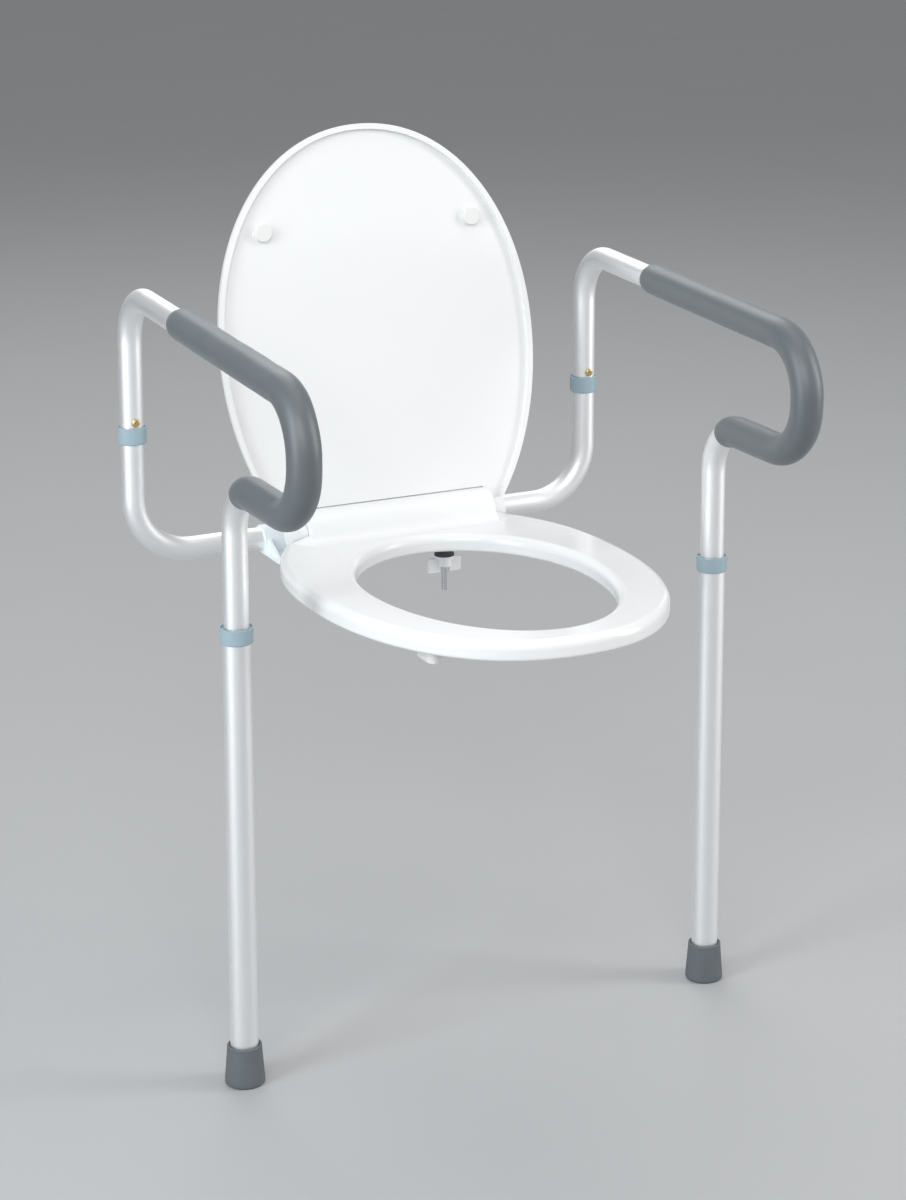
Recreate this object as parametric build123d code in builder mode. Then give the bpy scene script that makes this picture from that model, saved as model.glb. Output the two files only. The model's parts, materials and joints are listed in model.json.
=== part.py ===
"""Toilet support frame with its seat and lid, as a bench-ready assembly.

Two tubular arms plug into a moulded bracket that is clamped under the seat
hinges of a toilet bowl.  Each arm is an L-shaped rear tube, a bent handle tube
with a foam grip, and a telescopic front leg with a rubber foot.

Frame: origin midway between the two seat bolts, on top of the bowl's rim.
+X to the user's left when seated (right when facing the bowl), +Y to the wall,
+Z up.  Millimetres.
"""
import os
from math import acos, cos, degrees, radians, sin, sqrt

from build123d import *

# ---------------------------------------------------------------- driving dimensions
RIM_HEIGHT = 457.0          # bowl rim above the floor
BOLT_SPACING = 155.0        # between the two seat bolts
POST_Y = 32.0               # rear posts and bracket sleeve, behind the bolts
ARM_X = 267.0               # centre planes of the two arms
LEG_Y = -255.0              # front leg axis

TUBE_R = 12.5               # handle tube and rear tube, outside
TUBE_WALL = 1.2
LEG_R = 14.0                # outer leg tube, outside
LEG_WALL = 1.4

SLEEVE_WALL = 2.5           # bracket sleeve round the rear tubes
RUN_GAP = 0.05              # radial clearance of every sliding tube
TUBE_Z = TUBE_R + SLEEVE_WALL
BRACKET_HALF = 126.0
BRACKET_FRONT = -25.0
PLATE = 3.0
RIBS = (-121.0, -50.0, 0.0, 50.0, 121.0)
RIB_THICK = 3.0

REAR_BEND_R = 62.0          # rear tube, post to cross bar
REAR_INNER_X = 45.0         # inner end of the rear tubes inside the bracket
JOINT_Z = 139.0             # handle tube's lower end on the rear post
SPIGOT_R = 11.2             # swaged end of the rear tube
SPIGOT_TOP = 186.0

LEG_CORNER_Z = 164.0        # lower return of the handle
LEG_BEND_R = 50.0
HOOK_Y = -429.5             # foremost centre line of the handle
HOOK_BEND_R = 57.0
ARMREST_FRONT_Z = 280.6
ARMREST_REAR_Z = 299.0
REAR_TOP_BEND_R = 52.0

GRIP_R = 16.5
GRIP_REAR_Y = -117.0        # rear end of the foam on the armrest
GRIP_WRAP = 34.0            # degrees of the leg bend that the foam covers

LEG_TOP = 15.0
LEG_TUBE_END = -148.0       # lower end of the handle tube inside the leg
HOLE_PITCH = 25.0
HOLES_ABOVE = 4
HOLES_BELOW = 2
LEG_BUTTON_Z = -120.0

BUTTON_R = 4.25
HOLE_R = 4.35
REAR_BUTTON_Z = 161.0

HINGE_Y = -44.0             # seat and lid hinge axis
HINGE_Z = 37.0
PIN_R = 2.5
PIN_INNER = 53.0            # pins reach from here to just inside the lid's lugs
BARREL_R = 25.0             # round hinge bar across the back of the seat
BARREL_HALF = 107.0
BARREL_BLEND = 14.0         # fillet between the bar and the seat's top
POST_HALF = 15.5
POST_GAP = 0.5              # post to each side of its slot in the bar
POST_EYE_R = 5.5
POST_ARM_HALF = 4.5
POST_FOOT = (-14.0, 8.0)    # where the post's arm meets its pad, along Y and Z
PAD_TOP = 9.0
PAD_FRONT = -17.0
PAD_BACK = 14.0
SLOT_TURN = 57.0            # degrees: direction of the slot that clears the open post
LUG_IN = 107.5
LUG_OUT = 124.5
LUG_R = 13.0
LUG_ARM = 22.0              # the lug's arm runs this far into the lid
LUG_TUCK = 0.8              # arm's underside above the lid's inner face
LUG_NECK = 3.0
PIN_COVER = 2.0             # plastic left over the pin's outer end
NOTCH_GAP = 1.5             # lug to the seat's notch
NOTCH_OUT = 150.0           # the notches run out past the seat's edge
HUMP_TOP = 5.8              # humps on the seat ahead of the lugs: height at the bar's end
HUMP_CREST = 8.0            # length of a hump's nearly level top
HUMP_LENGTH = 25.0
HUMP_END = 128.0            # half distance across, where the humps have run out
HUMP_SHRINK = 0.72          # a hump's length there, against its length at the bar
HUMP_SINK = 0.5             # depth of its end below the seat's top
HUMP_ROOT = 3.0             # depth of a hump's base below the seat's top

BOLT_R = 3.0
BOLT_HOLE_R = 3.4
BOLT_END = -62.0
BOLT_HEAD_R = 6.5
CAP_R = 9.5
NUT_TOP = -22.0
NUT_HEIGHT = 12.0
CONE_TOP = -14.0
CONE_R = 11.0
CLAMP_X = 96.0              # pinch screws of the bracket sleeve
CLAMP_R = 3.0
CLAMP_BOSS = 8.0            # boss height behind the sleeve

SEAT_TOP = 33.5
SEAT_UNDER = 14.5
SEAT_HALF = 177.6
SEAT_WIDEST = 174.0         # distances from here on run forward from the hinge axis
SEAT_LENGTH = 427.0
SEAT_REAR_AXIS = 229.0
SEAT_POWER = 2.21
SEAT_REAR_POWER = 2.21
SEAT_EDGE_R = 8.5
SEAT_UNDER_R = 3.0
SEAT_START = -4.0
HOLE_HALF = 121.0
HOLE_WIDEST = 205.0
HOLE_FRONT = 182.0
HOLE_REAR = 152.0

BUFFERS = ((134.0, 84.0), (118.0, 330.0))   # half spacing and reach of the pads

LID_OPEN = 102.0            # degrees from closed to open
LID_RIM_GAP = 1.5           # closed lid rim above the seat
LID_THICK = 11.0
LID_RIM = 6.0
LID_RECESS = 5.5
LID_EDGE_R = 7.0
LID_LENGTH = 427.0
LID_HALF = 181.5
LID_WIDEST = 195.0
LID_REAR_AXIS = 258.0
LID_POWER = 2.09
LID_REAR_POWER = 2.0
LID_START = 2.0
LID_PAD_X = 121.0           # two round pads on the lid
LID_PAD_REACH = 319.0
PAD_CLEAR = 0.3
LID_CUT_R = 26.2            # lid's edge clears the seat's hinge bar

REAR_STEPS = 4              # points that shape the outlines
FRONT_STEPS = 7
HOLE_STEPS = 20

BUTTON_FLANGE_R = 5.5
BUTTON_FLANGE = 1.3
BUTTON_DOME = 1.9
LEAF = 0.8
LEAF_WIDTH = 8.0
LEAF_DROP = 20.0            # from the button down to the spring's fold

SHOULDER = 3.0              # ring between the rear tube and its swaged spigot
JOINT_PLAY = 0.5
COLLAR_LIP = 1.0
REAR_COLLAR = (137.0, 18.0, 15.0)   # bottom, height, outer radius
LEG_COLLAR = (4.0, 16.0, 16.3)

FOOT_HEIGHT = 41.0
FOOT_FLOOR = 8.0
FOOT_TOP_R = 17.5
FOOT_BASE_R = 20.0
WASHER = 1.5

SIDES = (("left", -1), ("right", 1))
FLOOR_Z = -RIM_HEIGHT

os.makedirs("parts", exist_ok=True)


def save(builder, name):
    """Label a finished piece and write it as one STEP file."""
    builder.part.label = name
    export_step(builder.part, f"parts/{name}.step")


def side_plane(x):
    """Vertical plane across the arm: local x is +Y, local y is +Z."""
    return Plane(origin=(x, 0, 0), x_dir=(0, 1, 0), z_dir=(1, 0, 0))


def level(x, y, z):
    """Horizontal plane at a point."""
    return Plane(origin=(x, y, z))


def facing(x, y, z, direction):
    """Plane at a point with its normal along +Y or -Y."""
    return Plane(origin=(x, y, z), x_dir=(1, 0, 0), z_dir=(0, direction, 0))


def armrest_z(y):
    """Height of the sloping armrest's centre line."""
    run = (y - HOOK_Y) / (POST_Y - HOOK_Y)
    return ARMREST_FRONT_Z + run * (ARMREST_REAR_Z - ARMREST_FRONT_Z)


# ---------------------------------------------------------------- bracket
def bracket():
    """Moulded cross piece: a round-backed sleeve on a flat slotted plate."""
    end_plane = side_plane(-BRACKET_HALF)
    back = POST_Y + TUBE_Z
    boss_y = back + CLAMP_BOSS
    with BuildPart() as body:
        with BuildSketch(end_plane):
            with Locations((POST_Y, TUBE_Z)):
                Circle(TUBE_Z)
            with Locations((POST_Y, TUBE_Z / 2)):
                Rectangle(2 * TUBE_Z, TUBE_Z)
            with Locations(((BRACKET_FRONT + back) / 2, PLATE / 2)):
                Rectangle(back - BRACKET_FRONT, PLATE)
        extrude(amount=2 * BRACKET_HALF)
        fillet(body.edges().filter_by(Axis.Z).group_by(Axis.Y)[0], 9)
        for x in RIBS:
            with BuildSketch(side_plane(x - RIB_THICK / 2)):
                with BuildLine():
                    Polyline(
                        (POST_Y - TUBE_Z + 1, PLATE - 1),
                        (BRACKET_FRONT + 12, PLATE - 1),
                        (POST_Y - TUBE_Z + 1, TUBE_Z + 3),
                        close=True,
                    )
                make_face()
            extrude(amount=RIB_THICK)
        for x in (-CLAMP_X, CLAMP_X):
            with BuildSketch(facing(x, POST_Y + TUBE_R + 1, TUBE_Z, 1)):
                Circle(7.0)
            extrude(amount=boss_y - POST_Y - TUBE_R - 1)
        with BuildSketch(end_plane):
            with Locations((POST_Y, TUBE_Z)):
                Circle(TUBE_R + RUN_GAP)
        extrude(amount=2 * BRACKET_HALF, mode=Mode.SUBTRACT)
        for x in (-CLAMP_X, CLAMP_X):
            with BuildSketch(facing(x, POST_Y, TUBE_Z, 1)):
                Circle(CLAMP_R)
            extrude(amount=boss_y - POST_Y + 1, mode=Mode.SUBTRACT)
        with BuildSketch(Plane.XY):
            with Locations((-BOLT_SPACING / 2, 0), (BOLT_SPACING / 2, 0)):
                SlotOverall(20, 2 * BOLT_HOLE_R)
        extrude(amount=PLATE, mode=Mode.SUBTRACT)
    save(body, "mounting_bracket")


def clamp_screw(side, s):
    """Socket screw that pinches the rear tube in its sleeve."""
    boss_y = POST_Y + TUBE_Z + CLAMP_BOSS
    tip_y = POST_Y + TUBE_R + 0.3
    with BuildPart() as screw:
        with BuildSketch(facing(s * CLAMP_X, tip_y, TUBE_Z, 1)):
            Circle(CLAMP_R)
        extrude(amount=boss_y - tip_y)
        with BuildSketch(facing(s * CLAMP_X, boss_y, TUBE_Z, 1)):
            Circle(5.0)
        extrude(amount=6.0)
        with BuildSketch(facing(s * CLAMP_X, boss_y + 6.0, TUBE_Z, -1)):
            RegularPolygon(2.9, 6)
        extrude(amount=3.5, mode=Mode.SUBTRACT)
        head = screw.edges().filter_by(GeomType.CIRCLE).sort_by(Axis.Y)[-1]
        chamfer(head, 0.6)
    save(screw, f"clamp_screw_{side}")


# ---------------------------------------------------------------- hinges
def post_arm():
    """Slanted arm of a hinge post, from the hinge axis to the pad."""
    foot_y, foot_z = POST_FOOT
    run_y, run_z = foot_y - HINGE_Y, foot_z - HINGE_Z
    length = sqrt(run_y**2 + run_z**2)
    off_y = -run_z / length * POST_ARM_HALF
    off_z = run_y / length * POST_ARM_HALF
    Polyline(
        (HINGE_Y + off_y, HINGE_Z + off_z),
        (foot_y + off_y, foot_z + off_z),
        (foot_y - off_y, foot_z - off_z),
        (HINGE_Y - off_y, HINGE_Z - off_z),
        close=True,
    )


def hinge_post(side, s):
    """Moulded foot on the seat bolt, carrying the hinge pin ahead of it."""
    x = s * BOLT_SPACING / 2
    pad = PAD_BACK - PAD_FRONT
    with BuildPart() as post:
        with BuildSketch(side_plane(x - POST_HALF)):
            with Locations((HINGE_Y, HINGE_Z)):
                Circle(POST_EYE_R)
            with BuildLine():
                post_arm()
            make_face()
            with Locations((PAD_FRONT + pad / 2, (PLATE + PAD_TOP) / 2)):
                Rectangle(pad, PAD_TOP - PLATE)
        extrude(amount=2 * POST_HALF)
        fillet(post.edges().filter_by(Axis.Z).group_by(Axis.Y)[-1], 8)
        with BuildSketch(level(x, 0, PLATE)):
            Circle(BOLT_R)
        extrude(amount=PAD_TOP, mode=Mode.SUBTRACT)
        with BuildSketch(side_plane(x - POST_HALF)):
            with Locations((HINGE_Y, HINGE_Z)):
                Circle(PIN_R)
        extrude(amount=2 * POST_HALF, mode=Mode.SUBTRACT)
    save(post, f"hinge_post_{side}")


def hinge_pin(side, s):
    """Steel pin through post, seat and lid lug."""
    outer = LUG_OUT - 2.5
    start = PIN_INNER if s > 0 else -outer
    with BuildPart() as pin:
        with BuildSketch(side_plane(start)):
            with Locations((HINGE_Y, HINGE_Z)):
                Circle(PIN_R)
        extrude(amount=outer - PIN_INNER)
        chamfer(pin.edges().filter_by(GeomType.CIRCLE), 0.4)
    save(pin, f"hinge_pin_{side}")


def hinge_bolt(side, s):
    """Long seat bolt with a flat round head on the post's pad."""
    x = s * BOLT_SPACING / 2
    with BuildPart() as bolt:
        with BuildSketch(level(x, 0, BOLT_END)):
            Circle(BOLT_R)
        extrude(amount=PAD_TOP - BOLT_END)
        chamfer(bolt.edges().filter_by(GeomType.CIRCLE).sort_by(Axis.Z)[0], 0.8)
        with BuildSketch(level(x, 0, PAD_TOP)):
            Circle(BOLT_HEAD_R)
        extrude(amount=3.0)
        with BuildSketch(Plane(origin=(x, 0, PAD_TOP + 3.0))):
            Rectangle(9, 1.4)
        extrude(amount=-1.6, mode=Mode.SUBTRACT)
    save(bolt, f"hinge_bolt_{side}")


def bolt_cap(side, s):
    """Snap-on cover over the bolt's head."""
    x = s * BOLT_SPACING / 2
    with BuildPart() as cap:
        with BuildSketch(level(x, 0, PAD_TOP)):
            Circle(CAP_R)
        extrude(amount=6.0)
        fillet(cap.edges().filter_by(GeomType.CIRCLE).sort_by(Axis.Z)[-1], 2.5)
        with BuildSketch(level(x, 0, PAD_TOP)):
            Circle(7.0)
        extrude(amount=4.0, mode=Mode.SUBTRACT)
    save(cap, f"bolt_cap_{side}")


def cone_washer(side, s):
    """Rubber cone that centres the bolt in the bowl's hole from below."""
    x = s * BOLT_SPACING / 2
    with BuildPart() as cone:
        with BuildSketch(Plane(origin=(x, 0, NUT_TOP), x_dir=(1, 0, 0), z_dir=(0, -1, 0))):
            with BuildLine():
                Polyline(
                    (BOLT_R, 0),
                    (CONE_R, 0),
                    (CONE_R, 2.5),
                    (6, CONE_TOP - NUT_TOP),
                    (BOLT_R, CONE_TOP - NUT_TOP),
                    close=True,
                )
            make_face()
        revolve(axis=Axis((x, 0, 0), (0, 0, 1)))
    save(cone, f"cone_washer_{side}")


def wing_nut(side, s):
    """Plastic wing nut under the bowl's rim."""
    x = s * BOLT_SPACING / 2
    with BuildPart() as nut:
        with BuildSketch(level(x, 0, NUT_TOP - NUT_HEIGHT)):
            Circle(7.5)
        extrude(amount=NUT_HEIGHT)
        with BuildSketch(level(x, 0, NUT_TOP)):
            Circle(11.0)
        extrude(amount=-2.5)
        for turn in (0, 180):
            wing = Plane(origin=(x, 0, NUT_TOP - 2.5)).rotated((0, 0, turn))
            with BuildSketch(wing):
                with Locations((12.5, 0)):
                    SlotOverall(15, 4)
            extrude(amount=-16)
        with BuildSketch(level(x, 0, NUT_TOP)):
            Circle(BOLT_R)
        extrude(amount=-20, mode=Mode.SUBTRACT)
    save(nut, f"wing_nut_{side}")


# ---------------------------------------------------------------- seat
def egg(half_width, widest, front, rear_axis, powers, start):
    """Right-half points of an egg, from `start` to the front, seen from the hinge.

    Distances run forward from the hinge axis.  The edge is a superellipse with
    half axis `rear_axis` behind the widest line, and another ahead of it.
    """
    points = []
    power, rear_power = powers
    first = acos_deg(((widest - start) / rear_axis) ** (rear_power / 2))
    for step in range(REAR_STEPS):
        turn = radians(first + (90 - first) * step / REAR_STEPS)
        reach = rear_axis * cos(turn) ** (2 / rear_power)
        points.append((half_width * sin(turn) ** (2 / rear_power), -(widest - reach)))
    for step in range(FRONT_STEPS):
        turn = radians(90 * step / FRONT_STEPS)
        reach = (front - widest) * sin(turn) ** (2 / power)
        points.append((half_width * cos(turn) ** (2 / power), -(widest + reach)))
    return points + [(0, -front)]


def acos_deg(value):
    """Angle in degrees whose cosine is given."""
    return degrees(acos(value))


def egg_outline(points):
    """Closed egg from its right-half points, cut straight across at the hinge."""
    left = [(-x, y) for x, y in reversed(points[:-1])]
    Spline(*points, *left)
    Line(left[-1], points[0])


def seat_hole():
    """Oval opening of the seat, longer ahead of its widest line."""
    points = []
    for step in range(HOLE_STEPS):
        turn = radians(360 * step / HOLE_STEPS)
        axis = HOLE_FRONT if sin(turn) > 0 else HOLE_REAR
        points.append((HOLE_HALF * cos(turn), -(HOLE_WIDEST + axis * sin(turn))))
    Spline(*points, periodic=True)


def post_slot():
    """Outline of the slot in the hinge bar that the post's arm turns through."""
    turn = radians(SLOT_TURN)
    front = POST_EYE_R
    reach = BARREL_R + 1.0
    top_y = -front + reach * cos(turn) * 1.03
    Polyline(
        (HINGE_Y - front, HINGE_Z - reach),
        (HINGE_Y - front, HINGE_Z + 3.2),
        (HINGE_Y + top_y, HINGE_Z + reach),
        (HINGE_Y + reach + 4.0, HINGE_Z + reach),
        (HINGE_Y + reach + 4.0, HINGE_Z - reach),
        close=True,
    )


def seat_outline():
    """Outer edge of the seat."""
    powers = (SEAT_POWER, SEAT_REAR_POWER)
    egg_outline(egg(SEAT_HALF, SEAT_WIDEST, SEAT_LENGTH, SEAT_REAR_AXIS, powers, SEAT_START))


def hump(height, scale):
    """Outline of the low hump ahead of a lid lug, down into the seat."""
    rear = HINGE_Y - LUG_R - NOTCH_GAP
    front = rear - HUMP_LENGTH * scale
    Polyline(
        (rear, SEAT_TOP - HUMP_ROOT),
        (rear, SEAT_TOP + height),
        (rear - HUMP_CREST * scale, SEAT_TOP + height - HUMP_SINK),
        (front, SEAT_TOP - 2 * HUMP_SINK),
        (front, SEAT_TOP - HUMP_ROOT),
        close=True,
    )


def seat_ring():
    """Thick oval ring with a round hinge bar across its back."""
    width = 2 * (POST_HALF + POST_GAP)
    with BuildPart() as seat:
        with BuildSketch(Plane(origin=(0, HINGE_Y, SEAT_UNDER))):
            with BuildLine():
                seat_outline()
            make_face()
            with BuildLine():
                seat_hole()
            make_face(mode=Mode.SUBTRACT)
        extrude(amount=SEAT_TOP - SEAT_UNDER)
        rim = seat.edges().filter_by(GeomType.BSPLINE)
        fillet(rim.filter_by(lambda e: e.center().Z > SEAT_TOP - 0.01), SEAT_EDGE_R)
        rim = seat.edges().filter_by(GeomType.BSPLINE)
        under = rim.filter_by(lambda e: e.bounding_box().max.Z < SEAT_UNDER + 0.01)
        fillet(under, SEAT_UNDER_R)
        for s in (-1, 1):
            with BuildSketch(Plane.XY):
                with Locations((s * (NOTCH_OUT + BARREL_HALF) / 2, HINGE_Y)):
                    Rectangle(NOTCH_OUT - BARREL_HALF, 2 * (LUG_R + NOTCH_GAP))
            extrude(amount=SEAT_TOP + 1.0, mode=Mode.SUBTRACT)
        with BuildSketch(side_plane(-BARREL_HALF)):
            with Locations((HINGE_Y, HINGE_Z)):
                Circle(BARREL_R)
        extrude(amount=2 * BARREL_HALF)
        for s in (-1, 1):
            with BuildSketch(side_plane(s * BOLT_SPACING / 2 - width / 2)):
                with BuildLine():
                    post_slot()
                make_face()
                with Locations((HINGE_Y, HINGE_Z)):
                    Circle(POST_EYE_R + 2 * POST_GAP)
            extrude(amount=width, mode=Mode.SUBTRACT)
        for start in (-BARREL_HALF, PIN_INNER - 1.0):
            with BuildSketch(side_plane(start)):
                with Locations((HINGE_Y, HINGE_Z)):
                    Circle(PIN_R + RUN_GAP)
            extrude(amount=BARREL_HALF - PIN_INNER + 1.0, mode=Mode.SUBTRACT)
        blend = seat.edges().filter_by(GeomType.LINE).filter_by(Axis.X)
        blend = blend.filter_by(lambda e: abs(e.center().Z - SEAT_TOP) < 0.01)
        fillet(blend.filter_by(lambda e: e.center().Y < HINGE_Y - BARREL_R + 2), BARREL_BLEND)
        for s in (-1, 1):
            for x, height, scale in (
                (BARREL_HALF, HUMP_TOP, 1.0),
                (HUMP_END, -HUMP_SINK, HUMP_SHRINK),
            ):
                with BuildSketch(side_plane(s * x)):
                    with BuildLine():
                        hump(height, scale)
                    make_face()
            loft(ruled=True)
    save(seat, "seat_ring")


def seat_buffers():
    """Four rubber pads under the ring that stand on the bowl."""
    with BuildPart() as pads:
        with BuildSketch(Plane.XY):
            for x, run in BUFFERS:
                with Locations((-x, HINGE_Y - run), (x, HINGE_Y - run)):
                    SlotOverall(34, 14, rotation=90)
        extrude(amount=SEAT_UNDER)
        chamfer(pads.edges().group_by(Axis.Z)[0], 1.2)
    save(pads, "seat_buffers")


# ---------------------------------------------------------------- lid
def lid_plane(height):
    """Plane of the open lid: local x is +X, local y runs from the front edge
    to the hinge, and the normal points out of the lid's back."""
    lean = radians(LID_OPEN)
    back = Vector(0, sin(lean), cos(lean))
    down = Vector(0, cos(lean), -sin(lean))
    origin = Vector(0, HINGE_Y, HINGE_Z) + back * height
    return Plane(origin=origin, x_dir=(1, 0, 0), z_dir=back), down


def lid_outline(inset, start):
    """Egg outline of the lid or, inset, of its recess."""
    half, length = LID_HALF - inset, LID_LENGTH - inset
    powers = (LID_POWER, LID_REAR_POWER)
    egg_outline(egg(half, LID_WIDEST, length, LID_REAR_AXIS, powers, start))


def lid():
    """Egg-shaped cover with a raised rim inside and two hinge lugs."""
    under = SEAT_TOP + LID_RIM_GAP - HINGE_Z
    rim_plane, _ = lid_plane(under)
    with BuildPart() as cover:
        with BuildSketch(rim_plane):
            with BuildLine():
                lid_outline(0, LID_START)
            make_face()
        extrude(amount=LID_THICK)
        back_face = cover.faces().sort_by(SortBy.AREA)[-2:].sort_by(Axis.Y)[-1]
        fillet(back_face.edges(), LID_EDGE_R)
        with BuildSketch(rim_plane):
            with BuildLine():
                lid_outline(LID_RIM, LID_RIM + LID_START)
            make_face()
        extrude(amount=LID_RECESS, mode=Mode.SUBTRACT)
        with BuildSketch(side_plane(-LUG_IN)):
            with Locations((HINGE_Y, HINGE_Z)):
                Circle(LID_CUT_R)
        extrude(amount=2 * LUG_IN, mode=Mode.SUBTRACT)
        for start in (-LUG_OUT, LUG_IN):
            lug_plane = Plane(
                origin=(start, HINGE_Y, HINGE_Z),
                x_dir=lid_plane(0)[1],
                z_dir=(1, 0, 0),
            )
            with BuildSketch(lug_plane):
                Circle(LUG_R)
                with BuildLine():
                    Polyline(
                        (-LUG_ARM, under + LID_RECESS + LUG_TUCK),
                        (-LUG_ARM, under + LID_THICK - 2 * LUG_TUCK),
                        (-LUG_NECK, under + LID_THICK - LUG_TUCK / 2),
                        (LUG_R - 1, LUG_NECK),
                        (LUG_R - 1, -LUG_NECK),
                        close=True,
                    )
                make_face()
            extrude(amount=LUG_OUT - LUG_IN)
        for start in (-LUG_OUT + PIN_COVER, LUG_IN):
            with BuildSketch(side_plane(start)):
                with Locations((HINGE_Y, HINGE_Z)):
                    Circle(PIN_R + RUN_GAP)
            extrude(amount=LUG_OUT - LUG_IN - PIN_COVER, mode=Mode.SUBTRACT)
    save(cover, "lid")


def lid_buffers():
    """Two round pads on the lid's inner face."""
    under = SEAT_TOP + PAD_CLEAR - HINGE_Z
    pad_plane, _ = lid_plane(under)
    with BuildPart() as pads:
        with BuildSketch(pad_plane):
            with Locations((-LID_PAD_X, -LID_PAD_REACH), (LID_PAD_X, -LID_PAD_REACH)):
                Circle(9.5)
        extrude(amount=LID_RIM_GAP + LID_RECESS - PAD_CLEAR)
        fillet(pads.edges().filter_by(GeomType.CIRCLE).group_by(Axis.Y)[0], 1.5)
    save(pads, "lid_buffers")


# ---------------------------------------------------------------- arms
def rear_tube(side, s):
    """L-shaped tube: swaged spigot, post, bend and cross bar into the bracket."""
    front_plane = Plane(origin=(0, POST_Y, 0), x_dir=(1, 0, 0), z_dir=(0, -1, 0))
    x = s * ARM_X
    with BuildPart() as tube:
        with BuildLine(front_plane) as path:
            FilletPolyline(
                (x, JOINT_Z - JOINT_PLAY),
                (x, TUBE_Z),
                (s * REAR_INNER_X, TUBE_Z),
                radius=REAR_BEND_R,
            )
        with BuildSketch(level(x, POST_Y, JOINT_Z - JOINT_PLAY)):
            Circle(TUBE_R)
            Circle(TUBE_R - TUBE_WALL, mode=Mode.SUBTRACT)
        sweep(path=path.line)
        with BuildSketch(level(x, POST_Y, JOINT_Z - JOINT_PLAY - SHOULDER)):
            Circle(TUBE_R)
            Circle(SPIGOT_R - TUBE_WALL, mode=Mode.SUBTRACT)
        extrude(amount=SHOULDER)
        with BuildSketch(level(x, POST_Y, JOINT_Z - JOINT_PLAY)):
            Circle(SPIGOT_R)
            Circle(SPIGOT_R - TUBE_WALL, mode=Mode.SUBTRACT)
        extrude(amount=SPIGOT_TOP - JOINT_Z + JOINT_PLAY)
        with BuildSketch(facing(x, POST_Y, REAR_BUTTON_Z, -1)):
            Circle(HOLE_R)
        extrude(amount=TUBE_R, mode=Mode.SUBTRACT)
    save(tube, f"rear_tube_{side}")


def cup_collar(x, y, size, lower_r, split_z, name):
    """Plastic cup over a tube joint: rounded below, thin standing rim on top."""
    bottom, height, outer_r = size
    bore_r = TUBE_R + RUN_GAP
    with BuildPart() as collar:
        with BuildSketch(level(x, y, bottom)):
            Circle(outer_r)
        extrude(amount=height)
        fillet(collar.edges().sort_by(Axis.Z)[0], 1.8)
        fillet(collar.edges().sort_by(Axis.Z)[-1], 0.5)
        with BuildSketch(level(x, y, bottom)):
            Circle(bore_r)
        extrude(amount=height, mode=Mode.SUBTRACT)
        with BuildSketch(level(x, y, bottom)):
            Circle(lower_r)
        extrude(amount=split_z - bottom, mode=Mode.SUBTRACT)
        with BuildSketch(level(x, y, bottom + height)):
            Circle(outer_r - COLLAR_LIP)
        extrude(amount=-1.6, mode=Mode.SUBTRACT)
    save(collar, name)


def handle_path(start_z, end_z):
    """Centre line of a handle tube, from the leg over the hook to the post."""
    return FilletPolyline(
        (LEG_Y, start_z),
        (LEG_Y, LEG_CORNER_Z),
        (HOOK_Y, LEG_CORNER_Z),
        (HOOK_Y, ARMREST_FRONT_Z),
        (POST_Y, ARMREST_REAR_Z),
        (POST_Y, end_z),
        radius=(LEG_BEND_R, HOOK_BEND_R, HOOK_BEND_R, REAR_TOP_BEND_R),
    )


def handle_tube(side, s):
    """One bent tube: leg insert, hooked grip, armrest and rear socket."""
    x = s * ARM_X
    with BuildPart() as tube:
        with BuildLine(side_plane(x)) as path:
            handle_path(LEG_TUBE_END, JOINT_Z)
        with BuildSketch(level(x, LEG_Y, LEG_TUBE_END)):
            Circle(TUBE_R)
            Circle(TUBE_R - TUBE_WALL, mode=Mode.SUBTRACT)
        sweep(path=path.line)
        with BuildSketch(facing(x, POST_Y, REAR_BUTTON_Z, -1)):
            Circle(HOLE_R)
        extrude(amount=TUBE_R + 2, mode=Mode.SUBTRACT)
        with BuildSketch(facing(x, LEG_Y, LEG_BUTTON_Z, 1)):
            Circle(HOLE_R)
        extrude(amount=TUBE_R + 2, mode=Mode.SUBTRACT)
    save(tube, f"handle_tube_{side}")


def foam_grip(side, s):
    """Soft sleeve over the armrest, the hook and the start of the leg bend."""
    x = s * ARM_X
    bend_y = LEG_Y - LEG_BEND_R
    bend_z = LEG_CORNER_Z - LEG_BEND_R
    wrap = radians(GRIP_WRAP)
    cap = (bend_y + LEG_BEND_R * sin(wrap), bend_z + LEG_BEND_R * cos(wrap))
    cap_plane = Plane(
        origin=(x, cap[0], cap[1]), x_dir=(1, 0, 0), z_dir=(0, -cos(wrap), sin(wrap))
    )
    with BuildPart() as grip:
        with BuildLine(side_plane(x)) as path:
            CenterArc((bend_y, bend_z), LEG_BEND_R, 90 - GRIP_WRAP, GRIP_WRAP)
            FilletPolyline(
                (bend_y, LEG_CORNER_Z),
                (HOOK_Y, LEG_CORNER_Z),
                (HOOK_Y, ARMREST_FRONT_Z),
                (GRIP_REAR_Y, armrest_z(GRIP_REAR_Y)),
                radius=HOOK_BEND_R,
            )
        with BuildSketch(cap_plane):
            Circle(GRIP_R)
            Circle(TUBE_R, mode=Mode.SUBTRACT)
        sweep(path=path.line)
    save(grip, f"foam_grip_{side}")


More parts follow.
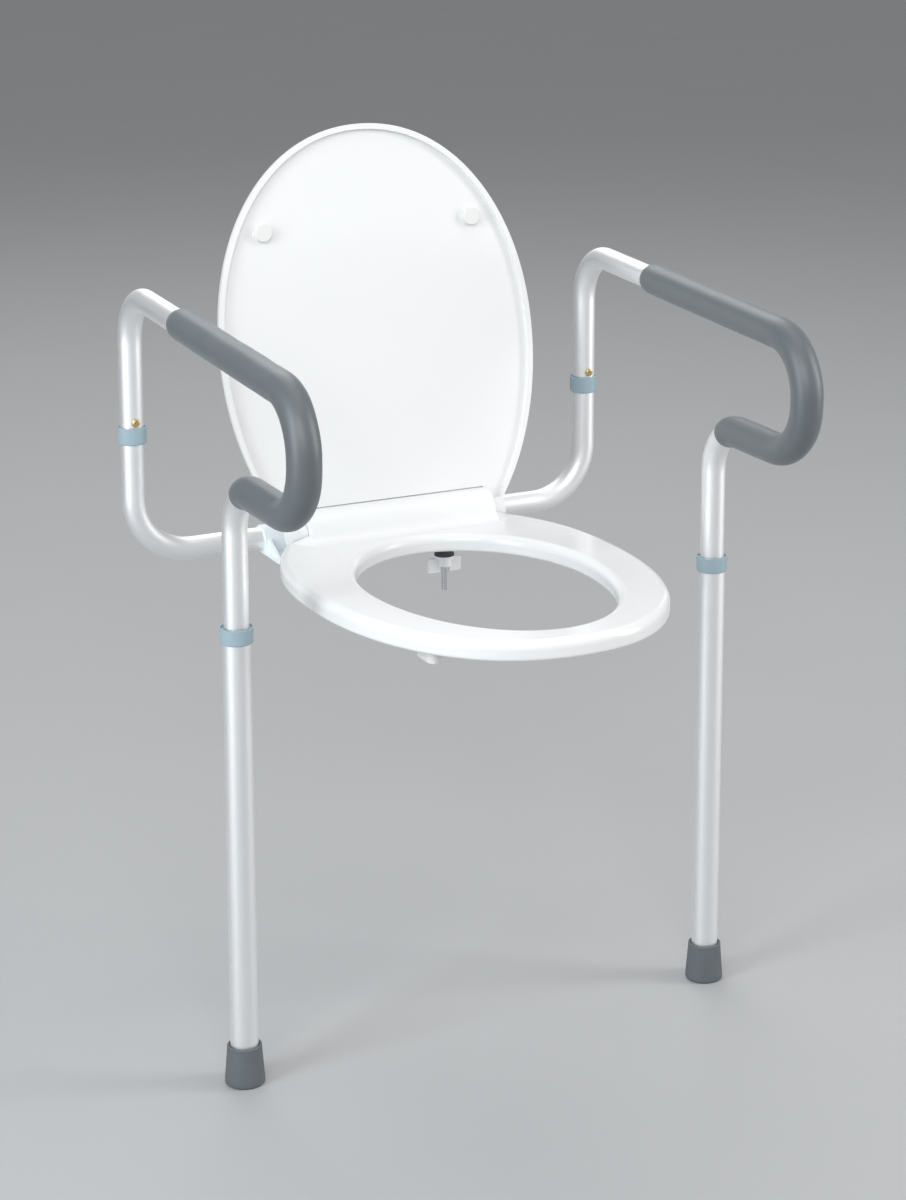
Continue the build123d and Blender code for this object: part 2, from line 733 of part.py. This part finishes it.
def snap_button(x, y, z, direction, inside_r, reach, name):
    """Domed locking button with a flange that bears on the tube's inner wall."""
    flange = sqrt(inside_r**2 - BUTTON_FLANGE_R**2) - 0.3
    with BuildPart() as button:
        with BuildSketch(facing(x, y + direction * (flange - BUTTON_FLANGE), z, direction)):
            Circle(BUTTON_FLANGE_R)
        extrude(amount=BUTTON_FLANGE)
        with BuildSketch(facing(x, y + direction * flange, z, direction)):
            Circle(BUTTON_R)
        extrude(amount=reach - flange)
        dome = button.edges().filter_by(GeomType.CIRCLE).sort_by(Axis.Y)
        fillet(dome[-1] if direction > 0 else dome[0], BUTTON_DOME)
        with BuildSketch(facing(x, y + direction * reach, z, -direction)):
            Circle(0.8)
        extrude(amount=0.6, mode=Mode.SUBTRACT)
    save(button, name)


def button_spring(x, y, z, direction, inside_r, name):
    """Folded leaf spring: one leg behind the button, one on the far wall."""
    front = sqrt(inside_r**2 - BUTTON_FLANGE_R**2) - 0.3 - BUTTON_FLANGE - LEAF / 2
    back = sqrt(inside_r**2 - (LEAF_WIDTH / 2) ** 2) - 0.2 - LEAF / 2
    bend_r = (front + back) / 2
    centre = y + direction * (front - bend_r)
    with BuildPart() as spring:
        with BuildSketch(side_plane(x - LEAF_WIDTH / 2)):
            with Locations((centre, z - LEAF_DROP)):
                Circle(bend_r + LEAF / 2)
                Circle(bend_r - LEAF / 2, mode=Mode.SUBTRACT)
            with Locations((centre, z - LEAF_DROP + bend_r)):
                Rectangle(4 * bend_r, 2 * bend_r, mode=Mode.SUBTRACT)
            with Locations((centre + bend_r, z - 6.5), (centre - bend_r, z - 6.5)):
                Rectangle(LEAF, 27)
        extrude(amount=LEAF_WIDTH)
    save(spring, name)


# ---------------------------------------------------------------- legs
def leg_tube(side, s):
    """Outer leg tube with a row of button holes facing the wall."""
    x = s * ARM_X
    bottom = FLOOR_Z + FOOT_FLOOR + WASHER
    with BuildPart() as tube:
        with BuildSketch(level(x, LEG_Y, bottom)):
            Circle(LEG_R)
            Circle(LEG_R - LEG_WALL, mode=Mode.SUBTRACT)
        extrude(amount=LEG_TOP - 1.0 - bottom)
        for step in range(-HOLES_BELOW, HOLES_ABOVE + 1):
            z = LEG_BUTTON_Z + step * HOLE_PITCH
            with BuildSketch(facing(x, LEG_Y, z, 1)):
                Circle(HOLE_R)
            extrude(amount=LEG_R + 2, mode=Mode.SUBTRACT)
    save(tube, f"leg_tube_{side}")


def foot(side, s):
    """Flared rubber ferrule with a cup rim and a grooved tread."""
    x = s * ARM_X
    with BuildPart() as rubber:
        section = Plane(origin=(x, LEG_Y, FLOOR_Z), x_dir=(1, 0, 0), z_dir=(0, -1, 0))
        with BuildSketch(section):
            with BuildLine():
                Polyline(
                    (0, 0),
                    (FOOT_BASE_R - 1.0, 0),
                    (FOOT_BASE_R, 1.5),
                    (FOOT_BASE_R, 5.0),
                    (FOOT_TOP_R, FOOT_HEIGHT - 4),
                    (FOOT_TOP_R, FOOT_HEIGHT - 1),
                    (FOOT_TOP_R - 1.0, FOOT_HEIGHT),
                    (LEG_R + 1.6, FOOT_HEIGHT),
                    (LEG_R, FOOT_HEIGHT - 3),
                    (LEG_R, FOOT_FLOOR),
                    (0, FOOT_FLOOR),
                    close=True,
                )
            make_face()
        revolve(axis=Axis((x, LEG_Y, 0), (0, 0, 1)))
        for radius in (7.0, 13.0):
            with BuildSketch(level(x, LEG_Y, FLOOR_Z)):
                Circle(radius + 1.2)
                Circle(radius - 1.2, mode=Mode.SUBTRACT)
            extrude(amount=1.5, mode=Mode.SUBTRACT)
    save(rubber, f"foot_{side}")


def foot_washer(side, s):
    """Steel disc that keeps the leg tube from cutting through the rubber."""
    with BuildPart() as disc:
        with BuildSketch(level(s * ARM_X, LEG_Y, FLOOR_Z + FOOT_FLOOR)):
            Circle(LEG_R)
        extrude(amount=WASHER)
    save(disc, f"foot_washer_{side}")


bracket()
seat_ring()
seat_buffers()
lid()
lid_buffers()
for name, sign in SIDES:
    arm_x = sign * ARM_X
    clamp_screw(name, sign)
    hinge_post(name, sign)
    hinge_pin(name, sign)
    hinge_bolt(name, sign)
    bolt_cap(name, sign)
    cone_washer(name, sign)
    wing_nut(name, sign)
    rear_tube(name, sign)
    cup_collar(arm_x, POST_Y, REAR_COLLAR, TUBE_R + RUN_GAP, JOINT_Z, f"rear_collar_{name}")
    handle_tube(name, sign)
    foam_grip(name, sign)
    rear_inside = SPIGOT_R - TUBE_WALL
    leg_inside = TUBE_R - TUBE_WALL
    snap_button(arm_x, POST_Y, REAR_BUTTON_Z, -1, rear_inside, 15.3, f"rear_button_{name}")
    button_spring(arm_x, POST_Y, REAR_BUTTON_Z, -1, rear_inside, f"rear_spring_{name}")
    snap_button(arm_x, LEG_Y, LEG_BUTTON_Z, 1, leg_inside, 16.0, f"leg_button_{name}")
    button_spring(arm_x, LEG_Y, LEG_BUTTON_Z, 1, leg_inside, f"leg_spring_{name}")
    leg_tube(name, sign)
    cup_collar(arm_x, LEG_Y, LEG_COLLAR, LEG_R, LEG_TOP - 1.0, f"leg_collar_{name}")
    foot(name, sign)
    foot_washer(name, sign)
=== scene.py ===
"""Looks of the toilet support frame with its seat and lid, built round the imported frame."""
import json
import math

import bmesh
import bpy
from mathutils import Matrix, Vector


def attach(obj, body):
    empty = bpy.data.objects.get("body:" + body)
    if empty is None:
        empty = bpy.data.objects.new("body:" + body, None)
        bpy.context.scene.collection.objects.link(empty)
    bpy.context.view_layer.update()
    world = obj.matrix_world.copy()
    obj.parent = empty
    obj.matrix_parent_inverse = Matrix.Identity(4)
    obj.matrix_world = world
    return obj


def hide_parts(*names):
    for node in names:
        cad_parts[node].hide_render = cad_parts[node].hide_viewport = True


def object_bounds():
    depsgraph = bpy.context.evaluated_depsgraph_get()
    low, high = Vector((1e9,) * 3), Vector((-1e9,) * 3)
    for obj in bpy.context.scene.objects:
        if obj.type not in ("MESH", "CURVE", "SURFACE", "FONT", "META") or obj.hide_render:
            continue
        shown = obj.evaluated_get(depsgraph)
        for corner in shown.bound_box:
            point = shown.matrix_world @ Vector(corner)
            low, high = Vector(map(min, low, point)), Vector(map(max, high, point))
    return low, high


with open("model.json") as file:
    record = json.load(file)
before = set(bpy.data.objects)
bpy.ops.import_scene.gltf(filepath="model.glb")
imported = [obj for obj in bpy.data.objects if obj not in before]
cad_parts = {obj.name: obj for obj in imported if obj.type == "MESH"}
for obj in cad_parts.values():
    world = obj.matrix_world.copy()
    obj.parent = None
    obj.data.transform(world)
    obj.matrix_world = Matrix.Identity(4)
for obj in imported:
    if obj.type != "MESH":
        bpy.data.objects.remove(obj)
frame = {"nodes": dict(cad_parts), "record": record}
nodes = frame["nodes"]
cad_low, cad_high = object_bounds()
SIDES = (("left", -1), ("right", 1))

# ------------------------------------------------------------------ camera
CAMERA_AT = (-1.2214, -2.7114, 0.8751)
CAMERA_TURN = (77.072, -0.448, -28.166)
LENS_MM, SENSOR_MM = 85.214, 36.0
SHIFT_X, SHIFT_Y = -0.10, -0.19
CLIP_NEAR, CLIP_FAR = 0.05, 60.0


def make_camera():
    """The photograph's viewpoint; its frame was cut from a wider picture, so the lens is shifted."""
    data = bpy.data.cameras.new("camera")
    data.lens, data.sensor_width = LENS_MM, SENSOR_MM
    data.shift_x, data.shift_y = SHIFT_X, SHIFT_Y
    data.clip_start, data.clip_end = CLIP_NEAR, CLIP_FAR
    camera = bpy.data.objects.new("camera", data)
    camera.location = CAMERA_AT
    camera.rotation_euler = [math.radians(angle) for angle in CAMERA_TURN]
    bpy.context.scene.collection.objects.link(camera)
    bpy.context.scene.camera = camera
    bpy.context.scene.view_settings.view_transform = "Standard"


# ------------------------------------------------------------------ node helpers
NOISE_ROUGHNESS = 0.55


def material(name, color, roughness, metallic=0.0, **sockets):
    """A new material with its node tree and shader."""
    mat = bpy.data.materials.new(name)
    mat.use_nodes = True
    tree = mat.node_tree
    shader = tree.nodes["Principled BSDF"]
    shader.inputs["Base Color"].default_value = (*color, 1)
    shader.inputs["Roughness"].default_value = roughness
    shader.inputs["Metallic"].default_value = metallic
    for key, value in sockets.items():
        shader.inputs[key.replace("_", " ")].default_value = value
    return mat, tree, shader


def node(tree, kind, **values):
    """A node with its named inputs or settings set."""
    made = tree.nodes.new(kind)
    for key, value in values.items():
        if key in made.inputs:
            made.inputs[key].default_value = value
        else:
            setattr(made, key, value)
    return made


def object_coords(tree):
    """Object coordinates: they move with the piece."""
    return node(tree, "ShaderNodeTexCoord").outputs["Object"]


def noise(tree, vector, scale, detail=4.0):
    """Noise texture's factor at a given scale."""
    made = node(tree, "ShaderNodeTexNoise", Scale=scale, Detail=detail, Roughness=NOISE_ROUGHNESS)
    tree.links.new(vector, made.inputs["Vector"])
    return made.outputs["Fac"]


def spread(tree, value, source, target):
    """Map a value from one range to another; each is a low and a high end."""
    made = node(tree, "ShaderNodeMapRange")
    for name, number in zip(("From Min", "From Max", "To Min", "To Max"), (*source, *target)):
        made.inputs[name].default_value = number
    tree.links.new(value, made.inputs["Value"])
    return made.outputs["Result"]


def tint(tree, factor, first, second):
    """Mix two colours by a factor."""
    made = node(tree, "ShaderNodeMix", data_type="RGBA", A=(*first, 1), B=(*second, 1))
    tree.links.new(factor, made.inputs["Factor"])
    return made.outputs["Result"]


def bump(tree, shader, height, strength, distance):
    """Add a bump, on top of any that the shader already has."""
    made = node(tree, "ShaderNodeBump", Strength=strength, Distance=distance)
    tree.links.new(height, made.inputs["Height"])
    before = shader.inputs["Normal"].links
    if before:
        tree.links.new(before[0].from_socket, made.inputs["Normal"])
    tree.links.new(made.outputs["Normal"], shader.inputs["Normal"])


# ------------------------------------------------------------------ materials
# Noise scales are cycles per metre, bump distances metres, colours linear.
NOISE_BODY = (0.3, 0.7)             # the range that most of a noise's values fall in
NOISE_WIDE = (0.25, 0.75)
WHITE, WHITE_SHADE = (0.83, 0.832, 0.83), (0.81, 0.812, 0.812)
BUFFER_WHITE, BUFFER_SHADE = (0.78, 0.78, 0.77), (0.72, 0.72, 0.71)
BRACKET_WHITE, BRACKET_SHADE = (0.85, 0.91, 0.94), (0.82, 0.89, 0.92)
COLLAR_BLUE, COLLAR_SHADE = (0.33, 0.44, 0.49), (0.30, 0.40, 0.45)
FOOT_GREY, FOOT_DUST = (0.095, 0.11, 0.12), (0.125, 0.14, 0.15)
CONE_BLACK, CONE_DUST = (0.035, 0.035, 0.038), (0.05, 0.05, 0.055)
FOAM_GREY, FOAM_DARK, FOAM_PALE = (0.10, 0.116, 0.126), (0.092, 0.107, 0.117), (0.112, 0.128, 0.138)
FOAM_SHEEN = (0.75, 0.85, 0.9)
ALUMINIUM, ALUMINIUM_SHADE = (0.93, 0.935, 0.94), (0.90, 0.905, 0.91)
STEEL, STEEL_SHADE = (0.62, 0.63, 0.64), (0.52, 0.53, 0.55)
BLUED, BLUED_SHADE = (0.38, 0.39, 0.41), (0.30, 0.31, 0.34)
BRASS, BRASS_SHADE = (0.74, 0.56, 0.27), (0.62, 0.44, 0.19)
FLOOR_GREY, FLOOR_DARK, FLOOR_PALE = (0.42, 0.425, 0.43), (0.41, 0.415, 0.42), (0.43, 0.435, 0.44)


def plastic(name, color, shade, roughness, grain_scale, grain, **sockets):
    """Moulded plastic: faint cloudiness, uneven gloss and a fine surface."""
    mat, tree, shader = material(name, color, roughness, **sockets)
    vector = object_coords(tree)
    clouds = noise(tree, vector, scale=9.0)
    tree.links.new(tint(tree, clouds, color, shade), shader.inputs["Base Color"])
    smears = noise(tree, vector, scale=28.0, detail=6.0)
    uneven = spread(tree, smears, NOISE_BODY, (roughness * 0.85, roughness * 1.2))
    tree.links.new(uneven, shader.inputs["Roughness"])
    grains = noise(tree, vector, scale=grain_scale, detail=3.0)
    bump(tree, shader, grains, strength=grain, distance=0.0004)
    return mat


def aluminium():
    """Satin anodised tube: a fine blasted grain in its gloss and surface."""
    mat, tree, shader = material("aluminium_satin", ALUMINIUM, roughness=0.50, metallic=1.0)
    vector = object_coords(tree)
    clouds = noise(tree, vector, scale=6.0)
    tree.links.new(tint(tree, clouds, ALUMINIUM_SHADE, ALUMINIUM), shader.inputs["Base Color"])
    blasted = noise(tree, vector, scale=900.0, detail=2.0)
    tree.links.new(spread(tree, blasted, NOISE_BODY, (0.45, 0.54)), shader.inputs["Roughness"])
    bump(tree, shader, blasted, strength=0.12, distance=0.0002)
    return mat


def metal(name, color, shade, roughness, scale):
    """Small turned or formed metal piece."""
    mat, tree, shader = material(name, color, roughness, metallic=1.0)
    vector = object_coords(tree)
    marks = noise(tree, vector, scale, detail=5.0)
    tree.links.new(tint(tree, marks, color, shade), shader.inputs["Base Color"])
    uneven = spread(tree, marks, NOISE_WIDE, (roughness * 0.7, roughness * 1.4))
    tree.links.new(uneven, shader.inputs["Roughness"])
    bump(tree, shader, marks, strength=0.15, distance=0.0002)
    return mat


def foam():
    """Closed-cell foam: dense small pores, soft sheen, colour slightly uneven."""
    mat, tree, shader = material(
        "foam_grey", FOAM_GREY, roughness=0.45, Specular_IOR_Level=0.8,
        Sheen_Weight=0.22, Sheen_Roughness=0.4, Sheen_Tint=(*FOAM_SHEEN, 1),
    )
    vector = object_coords(tree)
    clouds = noise(tree, vector, scale=22.0, detail=5.0)
    tree.links.new(tint(tree, clouds, FOAM_DARK, FOAM_PALE), shader.inputs["Base Color"])
    cells = node(tree, "ShaderNodeTexVoronoi", Scale=1100.0)
    tree.links.new(vector, cells.inputs["Vector"])
    bump(tree, shader, cells.outputs["Distance"], strength=0.14, distance=0.0003)
    dimples = noise(tree, vector, scale=160.0)
    bump(tree, shader, dimples, strength=0.12, distance=0.0006)
    return mat


def rubber(name, color, dusty, roughness):
    """Moulded rubber with dusty patches and a fine tooth."""
    mat, tree, shader = material(name, color, roughness)
    vector = object_coords(tree)
    dust = noise(tree, vector, scale=45.0, detail=6.0)
    tree.links.new(tint(tree, dust, color, dusty), shader.inputs["Base Color"])
    tooth = noise(tree, vector, scale=700.0, detail=3.0)
    bump(tree, shader, tooth, strength=0.25, distance=0.0003)
    return mat


def make_materials():
    """Every material, by the record's slot name."""
    return {
        "aluminium_tube": aluminium(),
        "grip_foam": foam(),
        "collar_plastic": plastic(
            "collar_blue_grey", COLLAR_BLUE, COLLAR_SHADE, roughness=0.42, grain_scale=500.0, grain=0.12,
            Subsurface_Weight=0.15, Subsurface_Radius=(0.004, 0.005, 0.006),
        ),
        "foot_rubber": rubber("foot_rubber", FOOT_GREY, FOOT_DUST, roughness=0.6),
        "seat_plastic": plastic(
            "seat_gloss_white", WHITE, WHITE_SHADE, roughness=0.22, grain_scale=60.0, grain=0.03,
            Coat_Weight=0.2, Coat_Roughness=0.08,
        ),
        "buffer_rubber": rubber("buffer_white", BUFFER_WHITE, BUFFER_SHADE, roughness=0.5),
        "bracket_plastic": plastic(
            "bracket_satin", BRACKET_WHITE, BRACKET_SHADE, roughness=0.35, grain_scale=350.0, grain=0.1,
            Subsurface_Weight=0.1, Subsurface_Radius=(0.004, 0.004, 0.005),
        ),
        "hinge_plastic": plastic(
            "hinge_white", WHITE, WHITE_SHADE, roughness=0.28, grain_scale=350.0, grain=0.08
        ),
        "steel": metal("steel_turned", STEEL, STEEL_SHADE, roughness=0.28, scale=220.0),
        "spring_steel": metal("spring_blued", BLUED, BLUED_SHADE, roughness=0.3, scale=160.0),
        "button_brass": metal("button_brass", BRASS, BRASS_SHADE, roughness=0.17, scale=260.0),
        "cone_rubber": rubber("cone_black", CONE_BLACK, CONE_DUST, roughness=0.65),
    }


def dress_cad(materials):
    """Give each CAD node its slot's material."""
    for row in frame["record"]["subparts"]:
        mesh = nodes[row["node"]].data
        mesh.materials.clear()
        mesh.materials.append(materials[row["material_slot"]])


# ------------------------------------------------------------------ foam grips
ARM_X = 0.267
TUBE_R, GRIP_R = 0.0125, 0.0165
GRIP_LINE = (                       # centre line of a grip, Y and Z, with the corner radii
    ((-0.117, 0.2933), 0.0),
    ((-0.4295, 0.2806), 0.057),
    ((-0.4295, 0.164), 0.057),
    ((-0.255, 0.164), 0.050),
    ((-0.255, 0.060), 0.0),
)
GRIP_WRAP = 34.0                    # degrees of the last bend under the foam
GRIP_STEP = 0.002                   # spacing of the outer rings along the grip
GRIP_AROUND = 56                    # vertices in a ring
BORE_STRIDE = 12                    # the bore has one ring for this many outer ones
END_GAP, BORE_GAP = 0.0001, 0.00003     # the foam's clearance from the tube
END_ROUND = 0.016                   # length over which an end swells to full thickness
END_POWER = 2.4                     # how square-shouldered the swelling is
CREASE_PITCH = 0.0085
CREASE_SLANT = 2.0                  # radians by which a crease lags from the middle to a side
CREASE_POWER = 4                    # narrows the creases
BEND_DENT, CREASE_DENT = 0.00035, 0.00055   # depths inside a bend
LUMP_HEIGHT = 0.00010
LONG_WAVE, SHORT_WAVE = 61.0, 143.0         # waviness along the grip, radians per metre
SHORT_SIZE, SHORT_PHASE = 0.6, 1.0


def corner_arc(before, at, after, radius):
    """Points of the arc that rounds a corner, and the centre of that bend."""
    into, out = (at - before).normalized(), (after - at).normalized()
    angle = into.angle(out)
    cut = radius * math.tan(angle / 2)
    start, inward = at - into * cut, (out - into).normalized()
    centre = at + inward * (radius / math.cos(angle / 2))
    steps = max(2, round(radius * angle / GRIP_STEP))
    spin = 1 if into.x * out.y - into.y * out.x > 0 else -1
    arm = start - centre
    points = []
    for step in range(steps + 1):
        turn = spin * angle * step / steps
        cos, sin = math.cos(turn), math.sin(turn)
        points.append(centre + Vector((arm.x * cos - arm.y * sin, arm.x * sin + arm.y * cos)))
    return points, centre


def grip_line():
    """Points about a step apart along the grip, each with the way to its bend's centre (0 if straight)."""
    corners = [Vector(point) for point, _ in GRIP_LINE]
    line, bends = [corners[0]], [Vector((0, 0))]
    for index in range(1, len(corners) - 1):
        radius = GRIP_LINE[index][1]
        arc, centre = corner_arc(*corners[index - 1:index + 2], radius)
        if index == len(corners) - 2:
            kept = math.radians(GRIP_WRAP) * radius
            arc = arc[:round(kept / GRIP_STEP)]
        gap = arc[0] - line[-1]
        steps = max(1, round(gap.length / GRIP_STEP))
        for step in range(1, steps):
            line.append(line[-1] + gap / steps)
            bends.append(Vector((0, 0)))
        for point in arc:
            line.append(point)
            bends.append((centre - point).normalized())
    return line, bends


def distances(line):
    """How far along the line each of its points is."""
    lengths = [0.0]
    for first, second in zip(line, line[1:]):
        lengths.append(lengths[-1] + (second - first).length)
    return lengths


def end_swell(distance):
    """How far the foam stands off the tube at a distance from its end, from 0 to 1."""
    if distance >= END_ROUND:
        return 1.0
    left = 1 - distance / END_ROUND
    return math.sqrt(max(0.0, 1 - left ** END_POWER))


def foam_radius(travelled, swell, inside, side):
    """Outer radius of the foam; inside says how far the spot faces the bend's centre."""
    crease = 0.5 + 0.5 * math.cos(2 * math.pi * travelled / CREASE_PITCH + CREASE_SLANT * side)
    dent = inside ** 2 * (BEND_DENT + CREASE_DENT * crease ** CREASE_POWER)
    short = SHORT_SIZE * math.sin(travelled * SHORT_WAVE + SHORT_PHASE)
    waver = math.sin(travelled * LONG_WAVE) + short
    lump = LUMP_HEIGHT * waver * (1 + side)
    return TUBE_R + END_GAP + (GRIP_R - TUBE_R - END_GAP) * swell - dent * swell - lump * swell


def ring_directions():
    """The steps round a ring, each as its parts to the side and across the line."""
    turns = [2 * math.pi * step / GRIP_AROUND for step in range(GRIP_AROUND)]
    return [(math.cos(turn), math.sin(turn)) for turn in turns]


def across_line(line, index):
    """The direction square to the line, in its plane, at one of its points."""
    before, after = line[max(index - 1, 0)], line[min(index + 1, len(line) - 1)]
    along = (after - before).normalized()
    return Vector((-along.y, along.x))


def add_ring(mesh, centre, across, directions, radii):
    """New vertices round a point of the line, each at its own radius."""
    made = []
    for (side, up), radius in zip(directions, radii):
        point = centre + across * (radius * up)
        made.append(mesh.verts.new((radius * side, point.x, point.y)))
    return made


def outer_rings(mesh, line, bends, directions):
    """The foam's outside, from the first end to the last."""
    rings = []
    lengths = distances(line)
    for index, travelled in enumerate(lengths):
        swell = end_swell(min(travelled, lengths[-1] - travelled))
        across = across_line(line, index)
        radii = []
        for side, up in directions:
            inside = max(0.0, (across * up).dot(bends[index]))
            radii.append(foam_radius(travelled, swell, inside, side))
        rings.append(add_ring(mesh, line[index], across, directions, radii))
    return rings


def bore_rings(mesh, line, directions):
    """The foam's bore, just clear of the tube, from the last end back to the first."""
    radii = [TUBE_R + BORE_GAP] * GRIP_AROUND
    return [
        add_ring(mesh, line[index], across_line(line, index), directions, radii)
        for index in range(len(line) - 1, -1, -BORE_STRIDE)
    ]


def grip_mesh():
    """A closed sleeve swept along the grip: swelling ends, small creases inside the bends."""
    line, bends = grip_line()
    directions = ring_directions()
    mesh = bmesh.new()
    rings = outer_rings(mesh, line, bends, directions) + bore_rings(mesh, line, directions)
    for first, second in zip(rings, rings[1:] + rings[:1]):
        for step in range(GRIP_AROUND):
            following = (step + 1) % GRIP_AROUND
            mesh.faces.new((first[step], first[following], second[following], second[step]))
    bmesh.ops.recalc_face_normals(mesh, faces=mesh.faces)
    data = bpy.data.meshes.new("grip")
    mesh.to_mesh(data)
    mesh.free()
    for face in data.polygons:
        face.use_smooth = True
    return data


def make_grips(finish):
    """Both foam sleeves, in place of the plain CAD ones."""
    for side, sign in SIDES:
        data = grip_mesh()
        data.transform(Matrix.Translation((sign * ARM_X, 0, 0)))
        data.materials.append(finish)
        grip = bpy.data.objects.new(f"foam_{side}", data)
        bpy.context.scene.collection.objects.link(grip)
        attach(grip, f"arm_{side}")
        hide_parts(f"foam_grip_{side}")


# ------------------------------------------------------------------ stage
FLOOR_SIZE, FLOOR_DROP = 40, 0.0005     # the floor lies just under the feet
SKY_COLOR, SKY_STRENGTH = (0.58, 0.59, 0.60), 0.7
LIGHT_TARGET = (0, -0.15, 0.0)
LIGHTS = (                          # name, place, size, power, colour
    ("key", (-1.9, -3.2, 2.3), (2.6, 2.2), 68, (1.0, 1.0, 1.0)),
    ("left", (-2.6, -0.9, 0.9), (1.0, 2.4), 46, (0.90, 0.96, 1.0)),
    ("right", (2.6, -1.6, 1.0), (1.0, 2.4), 46, (1.0, 1.0, 1.0)),
    ("top", (0.3, -0.3, 3.2), (2.4, 2.4), 20, (1.0, 1.0, 1.0)),
    ("back", (0.8, 2.8, 3.0), (2.4, 1.8), 48, (1.0, 1.0, 1.0)),
)


def area_light(name, place, size, power, color):
    """A rectangular soft light, aimed at the middle of the part."""
    data = bpy.data.lights.new(name, "AREA")
    data.shape, data.size, data.size_y = "RECTANGLE", size[0], size[1]
    data.energy, data.color = power, color
    light = bpy.data.objects.new(name, data)
    light.location = place
    direction = Vector(LIGHT_TARGET) - Vector(place)
    light.rotation_euler = direction.to_track_quat("-Z", "Y").to_euler()
    light.visible_camera = False
    bpy.context.scene.collection.objects.link(light)


def floor_material():
    """Matt pale grey with faint clouds."""
    mat, tree, shader = material("floor_pale", FLOOR_GREY, roughness=0.85)
    clouds = noise(tree, object_coords(tree), scale=3.0)
    tree.links.new(tint(tree, clouds, FLOOR_DARK, FLOOR_PALE), shader.inputs["Base Color"])
    return mat


def make_stage():
    """Plain pale floor, even surroundings and large soft lights."""
    bpy.ops.mesh.primitive_plane_add(size=FLOOR_SIZE, location=(0, 0, cad_low.z - FLOOR_DROP))
    floor = bpy.context.object
    floor.name = "floor"
    floor.data.materials.append(floor_material())
    world = bpy.data.worlds.new("studio")
    bpy.context.scene.world = world
    world.use_nodes = True
    sky = world.node_tree.nodes["Background"]
    sky.inputs["Color"].default_value = (*SKY_COLOR, 1)
    sky.inputs["Strength"].default_value = SKY_STRENGTH
    for light in LIGHTS:
        area_light(*light)


make_camera()
make_stage()
finishes = make_materials()
dress_cad(finishes)
make_grips(finishes["grip_foam"])
